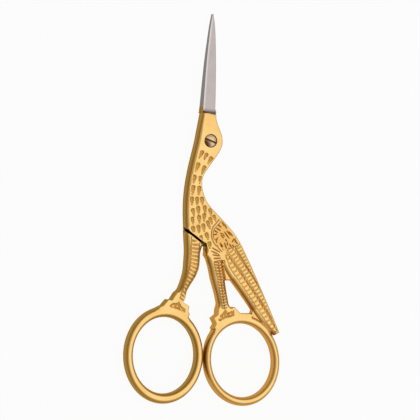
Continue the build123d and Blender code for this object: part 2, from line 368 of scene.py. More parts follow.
# One layer of a half as a closed mesh: its outer face follows the CAD solid with fuller roundings,
# and its flat face lies at the parting plane. Marks are plan points that the struck pattern needs.
def layerMesh(name, half, side, marks, top=None):
    parting = half["parting"]
    face = thickness if side > 0 else 0.0
    deepest = abs(face - parting)
    gauge = Gauge(half["node"], side)
    loops = []
    for loop in cutOutlines(half["node"], cutLevels[side]):
        loop = [p for p in cleanOutline(loop) if not inSlot(p.x, p.y)]
        if top is not None:
            loop = [runIn(p) for p in clipOutline(loop, top)]
        if len(loop) > 2:
            loops.append(edgeSamples(smoothOutline(loop), gauge, deepest))
    samples = [s for loop in loops for s in loop]
    tree = pointTree([s["at"] for s in samples])
    others = [cleanOutline(loop) for loop in cutOutlines(half["other"], cutLevels[side])]
    opposite = pointTree([p for loop in others if len(loop) > 2 for p in smoothOutline(loop)])

    def gapAt(p):  # the share of painted seam shade: 1 where the other half stands right beside this point, at the same level
        distance = opposite.find(p.to_3d())[2]
        wide = seamShade["wide"] if p.x < seamShade["wideLeftOf"] else 1.0
        share = unit((seamShade["far"] * wide - distance) / (seamShade["far"] - seamShade["near"]))
        return share if p.y > seamShade["bowsBelow"] else share * seamShade["onBows"]

    # Painted light: 1 on the front half's lower sides, which get a lighter colour
    def paintedLightAt(p):
        return unit((plate["paintedLightBelow"] - p.y) / plate["paintedLightOver"]) if half is halves["front"] else 0.0

    def nearest(p):
        _, index, distance = tree.find(p.to_3d())
        return samples[index], distance

    edges = []
    for loop in loops:
        first = len(edges)
        edges += [(first + i, first + (i + 1) % len(loop)) for i in range(len(loop))]
    points = [s["at"] for s in samples]
    taken = SpacedPoints(plate["clear"])

    def place(p, gap, least=0.0):
        depth = gauge.depth(p.x, p.y)
        if depth is None or depth > deepest or nearest(p)[1] < least or taken.near(p, gap):
            return
        taken.add(p)
        points.append(p)

    for p in marks:
        place(p, plate["markClear"], plate["clear"])
    for level in half["steps"]:  # both lips of every steep wall that a pocket or a recess has
        for loop in cutOutlines(half["node"], level if side > 0 else thickness - level):
            loop = cleanOutline(loop)
            if len(loop) < 3:
                continue
            run = smoothOutline(loop)
            if side > 0 and recessFit["inner"] < max(p.length for p in run) < recessFit["outer"]:
                for p in run:
                    for lip in recessFit["lips"]:
                        place(p * recessFit["share"] * lip, plate["lipClear"])
                continue
            for i, p in enumerate(run):
                across = acrossAt(run, i) * plate["stepInset"]
                if nearest(p)[1] > plate["lipsFrom"]:
                    place(p + across, plate["lipClear"])
                    place(p - across, plate["lipClear"])
    noseRings = math.floor(math.pi / 2 / math.radians(plate["ringTurn"]))
    for s in samples:
        rings = noseRings if s["wide"] > outline["noseFrom"] else plate["smallRings"]
        for k in range(1, rings + 1):
            inset = s["wide"] * (1 - math.cos(k * math.pi / 2 / rings))
            p = s["at"] + s["in"] * inset
            if nearest(p)[1] > plate["ringShare"] * inset:
                place(p, plate["ringClear"] * min(inset, plate["clear"]))
    low = Vector((min(p.x for p in points), min(p.y for p in points)))
    high = Vector((max(p.x for p in points), max(p.y for p in points)))
    grid = plate["faceGrid"]
    for j in range(math.ceil((high.y - low.y) / grid)):
        for i in range(math.ceil((high.x - low.x) / grid)):
            p = low + Vector(((i + j % 2 / 2) * grid, j * grid))
            s, distance = nearest(p)
            if distance > s["wide"] + grid / 3:
                place(p, plate["clear"])

    def insideLoops(p):
        crossings = 0
        for loop in loops:
            for i, s in enumerate(loop):
                a, b = loop[i - 1]["at"], s["at"]
                if (a.y > p.y) != (b.y > p.y) and p.x < a.x + (p.y - a.y) * (b.x - a.x) / (b.y - a.y):
                    crossings += 1
        return crossings % 2 == 1

    def triangles(plan):
        found = geometry.delaunay_2d_cdt(plan, edges, [], 1, plate["closest"])
        places, faces, sources = found[0], found[2], found[3]
        kept = []
        for corners in faces:
            own = [sources[i][0] if sources[i] else -1 for i in corners]
            middle = sum((places[i] for i in corners), Vector((0, 0))) / 3
            if -1 not in own and (max(own) >= len(samples) or insideLoops(middle)):
                kept.append(own)
        return kept

    form = bmesh.new()
    # Per point: how far the marks fade, painted shade in shallow recesses, painted seam shade, and painted
    # light
    fade, recess, gap, paintedLight = [form.verts.layers.float.new(label)
                                 for label in ("fade", "recess", "gap", "paintedLight")]
    outer = []
    for i, p in enumerate(points):
        onEdge = i < len(samples)
        if onEdge:
            drop, distance, below = samples[i]["high"], 0.0, 0.0
        else:
            s, distance = nearest(p)
            rounding = roundingDrop(s, distance)
            depth = min(gauge.depth(p.x, p.y) or 0.0, deepest)
            onFace = distance > s["wide"]
            inCollar = p.y < plate["collarsBelow"] and p.x < plate["collarsLeftOf"]
            if onFace and inCollar and depth < plate["pocketDeep"]:
                depth = 0.0
            if onFace and abs(p.y - plate["webTop"]) < plate["webRamp"] and depth > plate["pocketDeep"]:
                depth *= unit((plate["webTop"] - p.y) / plate["webRamp"])
            below = max(0.0, depth - rounding) if onFace else 0.0
            below = 0.0 if below > plate["pocketDeep"] else below
            drop = max(rounding, depth)
        inSeamShade = distance < seamShade["to"] and (onEdge or p.y > seamShade["bowsBelow"])
        vertex = form.verts.new((p.x * mm, p.y * mm, (face - side * drop) * mm))
        vertex[fade] = unit((distance - plate["fadeFrom"]) / plate["fadeOver"])
        vertex[recess] = min(1.0, below)
        vertex[gap] = gapAt(p) if inSeamShade else 0.0
        vertex[paintedLight] = paintedLightAt(p)
        outer.append(vertex)
    flat = [s["at"] for s in samples]   # plan points of the flat face, with those that bound the painted seam shade
    inner = [form.verts.new((p.x * mm, p.y * mm, parting * mm)) for p in flat]
    for vertex, p in zip(inner, flat):
        vertex[gap] = gapAt(p)
        vertex[paintedLight] = paintedLightAt(p)
    spaced = SpacedPoints(seamShade["inset"])

    def addFlat(p, share):
        if insideLoops(p) and nearest(p)[1] > plate["clear"] and not spaced.near(p, seamShade["inset"] / 2):
            spaced.add(p)
            inner.append(form.verts.new((p.x * mm, p.y * mm, parting * mm)))
            inner[-1][gap] = share
            flat.append(p)

    if half is halves["back"] and side < 0:
        start, end = (Vector(p) for p in seamShade["seam"])
        across = Vector(((end - start).y, -(end - start).x)).normalized()
        for offset, share in seamShade["rows"]:
            for k in range(seamShade["seamPoints"]):
                addFlat(start.lerp(end, k / (seamShade["seamPoints"] - 1)) + across * offset, share)
    for s in samples:
        if gapAt(s["at"]) > 0:
            addFlat(s["at"] + s["in"] * seamShade["inset"], 0.0)
    for a, b, c in triangles(points):
        form.faces.new((outer[a], outer[b], outer[c]))
    for a, b, c in triangles(flat):
        form.faces.new((inner[c], inner[b], inner[a]))
    for a, b in edges:
        form.faces.new((outer[a], outer[b], inner[b], inner[a]))
    return plainMesh(name, form)


# The struck marks. Each die is a relief in plan, whose heights are what it presses into a plate.
def newTree(name, inputs):
    tree = bpy.data.node_groups.new(name, "GeometryNodeTree")
    for way in ("INPUT", "OUTPUT"):
        tree.interface.new_socket("Geometry", in_out=way, socket_type="NodeSocketGeometry")
    for label, kind, value in inputs:
        socket = tree.interface.new_socket(label, in_out="INPUT", socket_type="NodeSocket" + kind)
        if value is not None:
            socket.default_value = value
    return tree, addNode(tree, "NodeGroupInput").outputs


def endTree(tree, geometryOut, finishOut):
    realized = addNode(tree, "GeometryNodeRealizeInstances", {"Geometry": geometryOut})
    finished = addNode(tree, "GeometryNodeSetMaterial", {"Geometry": realized, "Material": finishOut})
    addNode(tree, "NodeGroupOutput", {0: finished})
    return tree


# Runs a tree on an object and returns the plain mesh that it makes
def runTree(piece, tree, values):
    modifier = piece.modifiers.new(tree.name, "NODES")
    modifier.node_group = tree
    named = {item.name: item.identifier for item in tree.interface.items_tree if item.in_out == "INPUT"}
    for label, value in values.items():
        modifier[named[label]] = value
    bpy.context.view_layer.update()
    made = bpy.data.meshes.new_from_object(piece.evaluated_get(bpy.context.evaluated_depsgraph_get()))
    piece.modifiers.remove(modifier)
    return made


# Marks set on places: each place has its own length, width and lean
def placesTree():
    tree, given = newTree("Marks on places", [
        ("Mark", "Object", None), ("Depth", "Float", 0.3), ("Uneven", "Float", 0.06), ("Seed", "Int", 3),
        ("Finish", "Material", None)])
    mark = addNode(tree, "GeometryNodeObjectInfo", {"Object": given["Mark"]}).outputs["Geometry"]
    width, length, lean = [addNode(tree, "GeometryNodeInputNamedAttribute", {"Name": label})
                           for label in ("width", "length", "lean")]
    least = addNode(tree, "ShaderNodeMath", {0: 1.0, 1: given["Uneven"]}, operation="SUBTRACT")
    most = addNode(tree, "ShaderNodeMath", {0: 1.0, 1: given["Uneven"]}, operation="ADD")
    vary = addNode(tree, "FunctionNodeRandomValue", {2: least, 3: most, "Seed": given["Seed"]}).outputs[1]
    across = addNode(tree, "ShaderNodeMath", {0: width, 1: vary}, operation="MULTIPLY")
    along = addNode(tree, "ShaderNodeMath", {0: length, 1: vary}, operation="MULTIPLY")
    scale = addNode(tree, "ShaderNodeCombineXYZ", {"X": across, "Y": along, "Z": given["Depth"]})
    turn = addNode(tree, "ShaderNodeCombineXYZ", {"Z": lean})
    marks = addNode(tree, "GeometryNodeInstanceOnPoints", {
        "Points": given["Geometry"], "Instance": mark, "Rotation": turn, "Scale": scale})
    return endTree(tree, marks, given["Finish"])


# A smooth curve through a path's points, with new points at one spacing
def smoothPath(tree, path, spacing):
    curve = addNode(tree, "GeometryNodeMeshToCurve", {0: path})
    smooth = addNode(tree, "GeometryNodeCurveSplineType", {"Curve": curve}, spline_type="CATMULL_ROM")
    return addNode(tree, "GeometryNodeResampleCurve", {"Curve": smooth, "Length": spacing}, mode="LENGTH")


# Ribs repeated at one spacing along a path, as wide as the path's width there
def ribsTree():
    tree, given = newTree("Ribs along a path", [
        ("Mark", "Object", None), ("Spacing", "Float", 0.8), ("Skew", "Float", 0.0), ("Depth", "Float", 0.25),
        ("Uneven", "Float", 0.05), ("Seed", "Int", 5), ("Finish", "Material", None)])
    mark = addNode(tree, "GeometryNodeObjectInfo", {"Object": given["Mark"]}).outputs["Geometry"]
    width = addNode(tree, "GeometryNodeInputNamedAttribute", {"Name": "width"})
    spaced = smoothPath(tree, given["Geometry"], given["Spacing"])
    tangent = addNode(tree, "GeometryNodeInputTangent")
    turned = addNode(tree, "FunctionNodeAlignRotationToVector", {"Vector": tangent}, axis="Y", pivot_axis="Z")
    low = addNode(tree, "ShaderNodeMath", {0: given["Uneven"], 1: -1.0}, operation="MULTIPLY")
    vary = addNode(tree, "FunctionNodeRandomValue", {2: low, 3: given["Uneven"], "Seed": given["Seed"]})
    angle = addNode(tree, "ShaderNodeMath", {0: given["Skew"], 1: vary.outputs[1]}, operation="ADD")
    skew = addNode(tree, "FunctionNodeAxisAngleToRotation", {"Axis": (0, 0, 1), "Angle": angle})
    turned = addNode(tree, "FunctionNodeRotateRotation", {0: turned, 1: skew})
    scale = addNode(tree, "ShaderNodeCombineXYZ", {"X": width, "Y": given["Spacing"], "Z": given["Depth"]})
    ribs = addNode(tree, "GeometryNodeInstanceOnPoints", {
        "Points": spaced, "Instance": mark, "Rotation": turned, "Scale": scale})
    return endTree(tree, ribs, given["Finish"])


# A line swept along a path with one profile
def linesTree():
    tree, given = newTree("Line along a path", [
        ("Profile", "Object", None), ("Step", "Float", 0.25), ("Finish", "Material", None)])
    profile = addNode(tree, "GeometryNodeObjectInfo", {"Object": given["Profile"]}).outputs["Geometry"]
    section = addNode(tree, "GeometryNodeMeshToCurve", {0: profile})
    spaced = smoothPath(tree, given["Geometry"], given["Step"])
    level = addNode(tree, "GeometryNodeSetCurveNormal", {"Curve": spaced}, mode="Z_UP")
    swept = addNode(tree, "GeometryNodeCurveToMesh", {"Curve": level, "Profile Curve": section})
    return endTree(tree, swept, given["Finish"])


# Presses a die into a plate: every point of the plate moves by the die's height over or under it
def strikeTree():
    look = {"from": 1.0, "reach": 3.0}   # metres; far over any die, and down past it
    tree, given = newTree("Strike", [
        ("Die", "Object", None), ("Side", "Float", 1.0), ("Darkest", "Float", plate["darkest"] * mm),
        ("Finish", "Material", None)])
    die = addNode(tree, "GeometryNodeObjectInfo", {"Object": given["Die"]}).outputs["Geometry"]
    plan = addNode(tree, "ShaderNodeSeparateXYZ", {0: addNode(tree, "GeometryNodeInputPosition")}).outputs
    above = addNode(tree, "ShaderNodeCombineXYZ", {"X": plan["X"], "Y": plan["Y"], "Z": look["from"]})
    ray = addNode(tree, "GeometryNodeRaycast", {
        "Target Geometry": die, "Source Position": above, "Ray Direction": (0, 0, -1),
        "Ray Length": look["reach"]})
    hit = addNode(tree, "ShaderNodeSeparateXYZ", {0: ray.outputs["Hit Position"]})
    height = hit.outputs["Z"]
    fade, recess = [addNode(tree, "GeometryNodeInputNamedAttribute", {"Name": label})
                    for label in ("fade", "recess")]
    for share in (ray.outputs["Is Hit"], fade):
        height = addNode(tree, "ShaderNodeMath", {0: height, 1: share}, operation="MULTIPLY")
    # The deeper a point lies in a mark, the more painted shade it gets
    down = addNode(tree, "ShaderNodeMath", {0: height, 1: given["Darkest"]}, operation="DIVIDE")
    darker = addNode(tree, "ShaderNodeMath", {0: recess, 1: down}, operation="SUBTRACT", use_clamp=True)
    marked = addNode(tree, "GeometryNodeStoreNamedAttribute", {
        "Geometry": given["Geometry"], "Name": "recess", "Value": darker})
    lift = addNode(tree, "ShaderNodeMath", {0: height, 1: given["Side"]}, operation="MULTIPLY")
    offset = addNode(tree, "ShaderNodeCombineXYZ", {"Z": lift})
    pressed = addNode(tree, "GeometryNodeSetPosition", {"Geometry": marked, "Offset": offset})
    return endTree(tree, pressed, given["Finish"])


# An object that only helps to make the dies; every one is removed before the end
helpers = []


def addHelper(name, points, edges, faces, values=None):
    mesh = bpy.data.meshes.new(name)
    mesh.from_pydata([(p[0], p[1], p[2] if len(p) > 2 else 0.0) for p in points], edges, faces)
    for label, numbers in (values or {}).items():
        mesh.attributes.new(label, "FLOAT", "POINT").data.foreach_set("value", numbers)
    helpers.append(addObject(name, mesh))
    return helpers[-1]


# The walls between two rings of points, the second one listed after the first, and the floor inside it
def wallsAndFloor(count):
    faces = [(i, (i + 1) % count, count + (i + 1) % count, count + i) for i in range(count)]
    return faces + [tuple(range(count, 2 * count))]


# A feather's pit, one unit wide and long: blunt at its top, pointed at its lower end, and with a flat floor
# that falls from the lower left to the upper right
def featherMark():
    pit = {"wall": 0.76, "taller": 0.12, "shift": 0.01, "least": 0.38, "fall": (0.5, 0.75, 0.4)}
    edge = [(-0.48, 0.3), (-0.42, 0.46), (-0.22, 0.5), (0.1, 0.5), (0.4, 0.48), (0.5, 0.38), (0.46, 0.12),
            (0.3, -0.2), (0.12, -0.48), (-0.02, -0.5), (-0.14, -0.4), (-0.3, -0.1), (-0.42, 0.12)]
    middle, byX, byY = pit["fall"]
    bottom = []
    for x, y in edge:
        inner = (x * pit["wall"], y * (pit["wall"] + pit["taller"]) - pit["shift"])
        deep = middle + byX * inner[0] + byY * inner[1]
        bottom.append((*inner, -(pit["least"] + (1 - pit["least"]) * deep)))
    return addHelper("featherMark", [(x, y, 0.0) for x, y in edge] + bottom, [], wallsAndFloor(len(edge)))


# A stroke of the graver, one unit wide and long: pointed at both ends, with a V-shaped section
def strokeMark():
    stroke = {"stations": 12, "keel": 0.1, "ends": 0.5, "belly": 2.4, "point": 0.7}
    points, faces = [], []
    for k in range(stroke["stations"] + 1):
        y = -0.5 + k / stroke["stations"]
        swell = (1 - (2 * abs(y)) ** stroke["belly"]) ** stroke["point"]
        points += [(-0.5 * swell, y, 0.0), (stroke["keel"] * swell, y, -swell ** stroke["ends"]),
                   (0.5 * swell, y, 0.0)]
    for k in range(stroke["stations"]):
        faces += [(3 * k + i, 3 * k + i + 1, 3 * k + i + 4, 3 * k + i + 3) for i in (0, 1)]
    return addHelper("strokeMark", points, [], faces)


# A petal in a collar's pocket: a low mound that stands on the pocket's floor
def petalMark():
    petal = {"turns": 10, "shoulder": 0.72, "rise": 0.55, "droop": 1.15}
    points = []
    for radius, height in ((0.5, -1.0), (0.5 * petal["shoulder"], -1.0 + petal["rise"])):
        for k in range(petal["turns"]):
            angle = 2 * math.pi * k / petal["turns"]
            longer = 1.0 if math.sin(angle) > 0 else petal["droop"]
            points.append((radius * math.cos(angle), radius * math.sin(angle) * longer, height))
    return addHelper("petalMark", points, [], wallsAndFloor(petal["turns"]))


# One rib, one unit wide and one spacing long: its crest is level with the plate, and a groove lies on
# both sides of it. Bow bends its right end down.
def ribMark(name, bow, ends, crestHalf):
    rib = {"half": 0.46, "dip": 0.12, "square": 6, "bend": (0.3, 1.4)}
    across = (-0.5 - ends, -0.5, -0.36, -0.18, 0.0, 0.18, 0.36, 0.5, 0.5 + ends)
    along = (-0.54, -0.44, -0.32, -0.16, 0.0, 0.16, 0.32, 0.44, 0.54)
    points = []
    for y in along:
        for x in across:
            height = 0.0
            if abs(x) <= 0.5:
                rise = unit((rib["half"] - abs(y)) / (rib["half"] - crestHalf))
                dip = rib["dip"] * (y / crestHalf) ** 2 * (1 if abs(y) < crestHalf else 0)
                crest = rise * rise * (3 - 2 * rise) - dip
                height = -1 + max(0.0, crest) * (1 - (2 * abs(x)) ** rib["square"])
            bend = bow * (rib["bend"][0] * x + rib["bend"][1] * max(0.0, x) ** 2)
            points.append((x, y - bend, height))
    columns = len(across)
    faces = [(j * columns + i, j * columns + i + 1, (j + 1) * columns + i + 1, (j + 1) * columns + i)
             for j in range(len(along) - 1) for i in range(columns - 1)]
    return addHelper(name, points, [], faces)


# A path in the plan, from places in millimetres and the width at each
def planPath(name, places, widths=None):
    points = [(x * mm, y * mm) for x, y in places]
    values = {} if widths is None else {"width": [w * mm for w in widths]}
    return addHelper(name, points, [(i, i + 1) for i in range(len(points) - 1)], [], values)


def planPlaces(name, rows):
    xs, ys, widths, lengths, leans = zip(*[place for row in rows for place in row])
    return addHelper(name, [(x * mm, y * mm) for x, y in zip(xs, ys)], [], [],
                     {"width": [w * mm for w in widths], "length": [l * mm for l in lengths],
                      "lean": [math.radians(a) for a in leans]})


# Places and sizes below are read off the photograph, on the face, from the pivot: x, y, width, length, lean
feathers = {
    "depth": 0.27,
    "rows": [
        [(-3.06, -3.97, 1.15, 2.5, -27), (-1.63, -4.53, 1.1, 2.1, -27), (-0.29, -5.70, 1.25, 2.4, -32)],
        [(-4.26, -7.69, 1.25, 2.7, -20), (-2.33, -8.54, 1.15, 2.7, -22)],
        [(-5.21, -11.19, 1.3, 2.7, -10), (-3.37, -11.42, 0.95, 2.5, -6)],
        [(-5.62, -14.41, 1.3, 2.8, -7), (-3.68, -14.54, 1.2, 2.7, -6)],
        [(-5.91, -17.60, 1.2, 2.6, 0), (-4.28, -17.60, 1.15, 2.5, 0), (-2.70, -17.60, 1.25, 2.6, 6)],
        [(-5.45, -20.94, 1.2, 2.6, 12), (-3.92, -20.39, 1.2, 2.7, 4), (-1.89, -20.06, 1.2, 2.5, 3),
         (-0.08, -20.94, 1.1, 2.4, 12), (1.22, -22.64, 1.0, 2.3, 22)],
        [(-5.63, -23.31, 1.1, 2.3, 6), (-3.61, -22.96, 1.1, 2.4, 5), (-2.11, -22.41, 1.1, 2.4, 0),
         (0.04, -23.40, 1.1, 2.3, 20)],
        [(-5.45, -26.10, 1.15, 2.5, 9), (-3.79, -25.78, 1.15, 2.5, 8), (-2.23, -25.42, 1.15, 2.4, 12),
         (-0.68, -24.63, 1.05, 2.7, 20)],
        [(-2.95, -28.56, 1.1, 2.0, 12), (-1.18, -27.88, 1.15, 2.2, 20)],
        [(-0.46, -30.50, 1.35, 2.2, 6)],
    ],
}
wing = {
    "depth": 0.18,
    "rows": [
        [(2.7, -24.9, 0.50, 1.6, 53), (2.4, -25.9, 0.50, 1.8, 60), (1.6, -26.5, 0.45, 1.4, 58),
         (1.5, -27.3, 0.40, 1.2, -75)],
        [(4.0, -24.5, 0.62, 2.6, 31), (4.6, -25.0, 0.50, 1.8, 26), (3.4, -27.2, 0.40, 1.1, 70),
         (3.6, -28.0, 0.45, 1.5, 42)],
        [(3.9, -27.5, 0.40, 1.3, 37), (5.0, -27.6, 0.52, 2.9, 38), (5.6, -27.0, 0.42, 2.1, 44),
         (6.2, -27.2, 0.50, 2.2, 42)],
        [(7.8, -29.5, 0.55, 2.0, 35), (7.0, -29.1, 0.42, 1.4, -31), (3.2, -30.5, 0.52, 1.8, 23),
         (4.6, -30.7, 0.52, 2.3, 21)],
        [(5.2, -30.1, 0.40, 1.2, 2), (6.2, -30.8, 0.52, 1.7, 30), (1.7, -29.2, 0.40, 1.3, 17),
         (2.1, -30.7, 0.40, 1.1, 40)],
        [(7.0, -30.8, 0.42, 1.1, 39), (1.9, -28.8, 0.36, 1.4, -24), (4.8, -29.1, 0.36, 0.9, 38),
         (3.5, -30.6, 0.36, 1.1, 29)],
    ],
    "border": [(3.0, -22.5), (1.5, -24.3), (0.6, -25.35), (0.2, -27.25), (0.55, -29.0), (1.3, -30.25),
               (2.55, -31.5), (3.45, -32.45)],
    "rim": [(3.6, -23.1), (2.1, -24.8), (1.15, -25.7), (0.75, -27.25), (1.1, -28.7), (1.85, -29.85),
            (3.0, -31.0), (4.0, -32.0)],
    "close": [(9.0, -30.2), (7.65, -31.6)],
    "ground": [(3.72, -23.69), (1.97, -24.88), (1.19, -26.25), (0.94, -27.53), (1.38, -29.27),
               (2.90, -31.05), (4.44, -32.20), (7.48, -31.19), (8.85, -29.95), (7.42, -27.68),
               (5.87, -25.67), (4.70, -24.33)],
    "groundSunk": {"depth": 0.09, "wall": 0.1},
    "line": [(-0.18, 0.0), (0.0, -0.16), (0.18, 0.0)],   # across the line, height
}
tail = {
    "spacings": (1.36, 1.15, 1.0), "depth": 0.15, "skew": -4.0,
    "columns": [   # x, y and width down each column of barbs
        [(5.3, -34.0, 0.9), (6.9, -37.0, 1.75), (9.8, -41.0, 1.8), (13.35, -46.0, 1.8), (16.65, -50.8, 1.8),
         (18.75, -54.0, 1.5), (20.0, -55.6, 1.2)],
        [(6.1, -31.9, 1.8), (6.9, -32.9, 2.0), (9.85, -37.0, 1.85), (13.4, -42.0, 1.8), (16.3, -46.6, 1.35),
         (18.75, -50.6, 1.0), (20.6, -54.0, 0.7)],
        [(8.5, -30.9, 1.7), (9.15, -31.9, 1.9), (12.3, -36.9, 1.7), (15.4, -42.1, 1.2), (18.1, -47.3, 1.1),
         (19.9, -51.0, 1.0), (21.1, -53.6, 0.8)],
    ],
    "grooves": [
        [(4.7, -32.3), (5.06, -32.8), (8.05, -36.6), (11.23, -41.0), (14.7, -45.9), (18.06, -50.8),
         (20.3, -54.6)],
        [(7.65, -31.6), (9.55, -34.3), (11.5, -37.3), (13.3, -40.0), (15.06, -42.5), (17.1, -46.6),
         (19.2, -50.9), (20.7, -53.9)],
    ],
    "groove": [(-0.15, 0.0), (0.0, -0.12), (0.15, 0.0)],
}
legs = {
    "left": {"spacing": 1.1, "depth": 0.19, "skew": 0.0,
             "path": [(-4.9, -28.7, 2.4), (-4.8, -31.93, 2.9), (-4.85, -34.86, 2.9), (-5.48, -37.78, 2.85),
                      (-6.6, -40.7, 2.4), (-7.88, -43.6, 1.9), (-8.9, -45.7, 1.4)]},
    "right": {"spacing": 0.83, "depth": 0.18,
              "columns": [(-0.24, 0.54, -14.0), (0.28, 0.42, 34.0)],   # shares of the leg's width, and skew
              "path": [(2.25, -35.9, 2.5), (3.3, -42.06, 1.95), (3.98, -47.3, 1.4), (4.15, -48.6, 1.2)]},
}
thigh = {
    "depth": 0.2,
    "rows": [[(1.64, -31.96, 0.50, 3.2, 62), (1.37, -32.77, 0.50, 3.1, 67), (1.72, -33.50, 0.50, 2.8, 82)],
             [(1.99, -34.32, 0.46, 2.5, -89), (2.22, -35.15, 0.44, 2.4, -79)]],
}
collars = {   # a sunk pocket on each collar, with petals standing in it
    "depth": 0.22, "wall": 0.12,
    "left": [(-12.68, -48.27), (-12.3, -47.5), (-10.43, -47.28), (-9.75, -46.85), (-9.13, -48.27),
             (-7.88, -49.13), (-8.24, -50.03), (-10.43, -48.94), (-12.08, -48.66)],
    "leftPetals": {"depth": 0.22, "rows": [[(-11.7, -48.1, 1.0, 1.25, 74), (-10.45, -48.2, 0.95, 1.1, 62),
                                            (-9.2, -49.05, 0.85, 1.3, 52)]]},
    "right": [(2.35, -52.43), (3.0, -51.14), (4.22, -49.81), (4.55, -49.41), (5.47, -50.3), (7.11, -49.59),
              (7.28, -51.2), (5.14, -51.72), (2.85, -52.67)],
    "rightPetals": {"depth": 0.22, "rows": [[(3.1, -51.9, 0.8, 1.15, -36), (4.0, -51.2, 0.8, 1.2, -30),
                                             (4.85, -50.9, 0.75, 1.3, -8), (6.2, -50.75, 1.0, 1.3, -68)]]},
}
lineStep = 0.25
places, ribs, lines, strike = placesTree(), ribsTree(), linesTree(), strikeTree()
featherShape, strokeShape, petalShape = featherMark(), strokeMark(), petalMark()
barbShape = ribMark("barbMark", 0.0, 0.05, 0.26)
leftRibShape = ribMark("leftRibMark", 0.55, 0.04, 0.16)
rightRibShape = ribMark("rightRibMark", 0.2, 0.06, 0.16)


# One die from several meshes of marks
def joinDie(name, meshes):
    die = bmesh.new()
    for mesh in meshes:
        die.from_mesh(mesh)
        bpy.data.meshes.remove(mesh)
    made = bpy.data.meshes.new(name)
    die.to_mesh(made)
    die.free()
    helpers.append(addObject(name, made))
    return helpers[-1]


def pressPlaces(sizes, shape, seed):
    piece = planPlaces("places", sizes["rows"])
    return runTree(piece, places, {"Mark": shape, "Depth": sizes["depth"] * mm, "Seed": seed})


def pressRibs(path, shape, sizes, spacing, seed):
    piece = planPath("ribPath", [(x, y) for x, y, _ in path], [w for _, _, w in path])
    return runTree(piece, ribs, {"Mark": shape, "Spacing": spacing * mm, "Depth": sizes["depth"] * mm,
                                 "Skew": math.radians(sizes["skew"]), "Seed": seed})


# A sunk pocket: a flat floor inside steep walls
def pressPocket(outlinePoints, sizes):
    points = [Vector(p) for p in outlinePoints]
    count = len(points)
    turning = sum(points[i - 1].cross(points[i]) for i in range(count))
    wall = math.copysign(sizes["wall"], turning)
    inner = []
    for i, p in enumerate(points):
        before = (p - points[i - 1]).normalized()
        after = (points[(i + 1) % count] - p).normalized()
        inner.append(p + Vector((-(before + after).y, (before + after).x)).normalized() * wall)
    mesh = bpy.data.meshes.new("pocket")
    mesh.from_pydata([(p.x * mm, p.y * mm, 0.0) for p in points]
                     + [(p.x * mm, p.y * mm, -sizes["depth"] * mm) for p in inner], [], wallsAndFloor(count))
    return mesh


def pressLine(path, profile):
    shape = planPath("profile", [(x, -z) for x, z in profile])
    return runTree(planPath("linePath", path), lines, {"Profile": shape, "Step": lineStep * mm})


barbs = [pressRibs(column, barbShape, tail, spacing, 10 + i)
         for i, (column, spacing) in enumerate(zip(tail["columns"], tail["spacings"]))]
rightLeg = [pressRibs([(x + shift * w, y, w * wide) for x, y, w in legs["right"]["path"]], rightRibShape,
                      {"depth": legs["right"]["depth"], "skew": skew}, legs["right"]["spacing"], 20)
            for shift, wide, skew in legs["right"]["columns"]]
frontMarks = joinDie("frontMarks", [
    pressPlaces(feathers, featherShape, 3), pressPlaces(wing, strokeShape, 4),
    pressPlaces(thigh, strokeShape, 6), pressPocket(collars["right"], collars),
    pressPlaces(collars["rightPetals"], petalShape, 7)]
    + barbs + rightLeg)
frontLines = joinDie("frontLines", [pressPocket(wing["ground"], wing["groundSunk"])]
                     + [pressLine(wing[name], wing["line"]) for name in ("border", "rim", "close")]
                     + [pressLine(groove, tail["groove"]) for groove in tail["grooves"]])
backMarks = joinDie("backMarks", [
    pressRibs(legs["left"]["path"], leftRibShape, legs["left"], legs["left"]["spacing"], 21),
    pressPocket(collars["left"], collars), pressPlaces(collars["leftPetals"], petalShape, 7)])
print("dies done:", *[len(die.data.vertices) for die in (frontMarks, frontLines, backMarks)])


# Puts the given colours at the given places of a colour ramp
def setStops(ramp, colours):
    stops = ramp.color_ramp.elements
    while len(stops) < len(colours):
        stops.new(0.5)
    for stop, (position, colour) in zip(stops, colours):
        stop.position = position
        stop.color = linear(colour)


# Lays colours over a base, each with the share of it that covers what is below
def layered(tree, base, layers):
    for share, over in layers:
        mix = addNode(tree, "ShaderNodeMix", {"Factor": share, "A": base, "B": over}, data_type="RGBA")
        base = mix.outputs["Result"]
    return base


def newMetal(name):
    material = bpy.data.materials.new(name)
    material.use_nodes = True
    tree = material.node_tree
    setInputs(tree, tree.nodes["Principled BSDF"], {"Metallic": 1.0})
    return material, tree, addNode(tree, "ShaderNodeTexCoord").outputs
